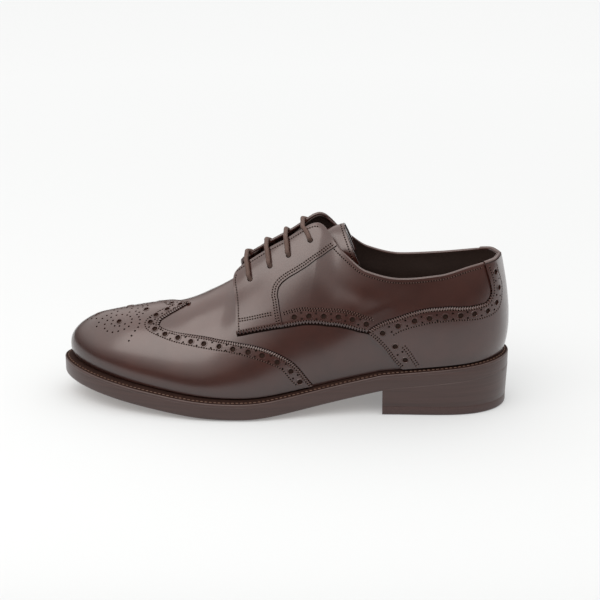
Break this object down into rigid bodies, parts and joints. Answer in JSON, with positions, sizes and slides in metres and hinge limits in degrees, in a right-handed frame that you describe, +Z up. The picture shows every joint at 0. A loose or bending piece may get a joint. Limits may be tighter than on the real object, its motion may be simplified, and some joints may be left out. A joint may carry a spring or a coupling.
{
  "type": "full brogue derby shoe",
  "caption": "Man's left derby shoe with a winged toe cap, open lacing over a tongue, heel counter, welted leather sole and stacked heel, worn on the foot.",
  "frame": {"origin": "middle of the shoe's box on the floor it stands on", "axes": "toe towards -X, heel towards +X, outer side of the left foot towards -Y, +Z up"},
  "size_m": [0.3, 0.1036, 0.1255],
  "materials": {
    "burnished_calf": "polished, burnished darker at seams",
    "burnished_calf_trim": "polished, punched and gimped",
    "lining_leather": "matt lining",
    "stained_sole_leather": "waxed edge",
    "heel_rubber": "matt",
    "waxed_lace_cotton": "waxed round lace"
  },
  "bodies": {
    "root": {"upper": "burnished_calf", "quarter_outer": "burnished_calf", "quarter_inner": "burnished_calf", "tongue": "burnished_calf", "wing_cap": "burnished_calf_trim", "facing_outer": "burnished_calf_trim", "facing_inner": "burnished_calf_trim", "heel_counter": "burnished_calf_trim", "insole": "lining_leather", "welt": "stained_sole_leather", "outsole": "stained_sole_leather", "heel_stack": "stained_sole_leather", "heel_top_piece": "heel_rubber", "lace_bar_1": "waxed_lace_cotton", "lace_bar_2": "waxed_lace_cotton", "lace_bar_3": "waxed_lace_cotton", "lace_bar_4": "waxed_lace_cotton"}
  },
  "joints": []
}
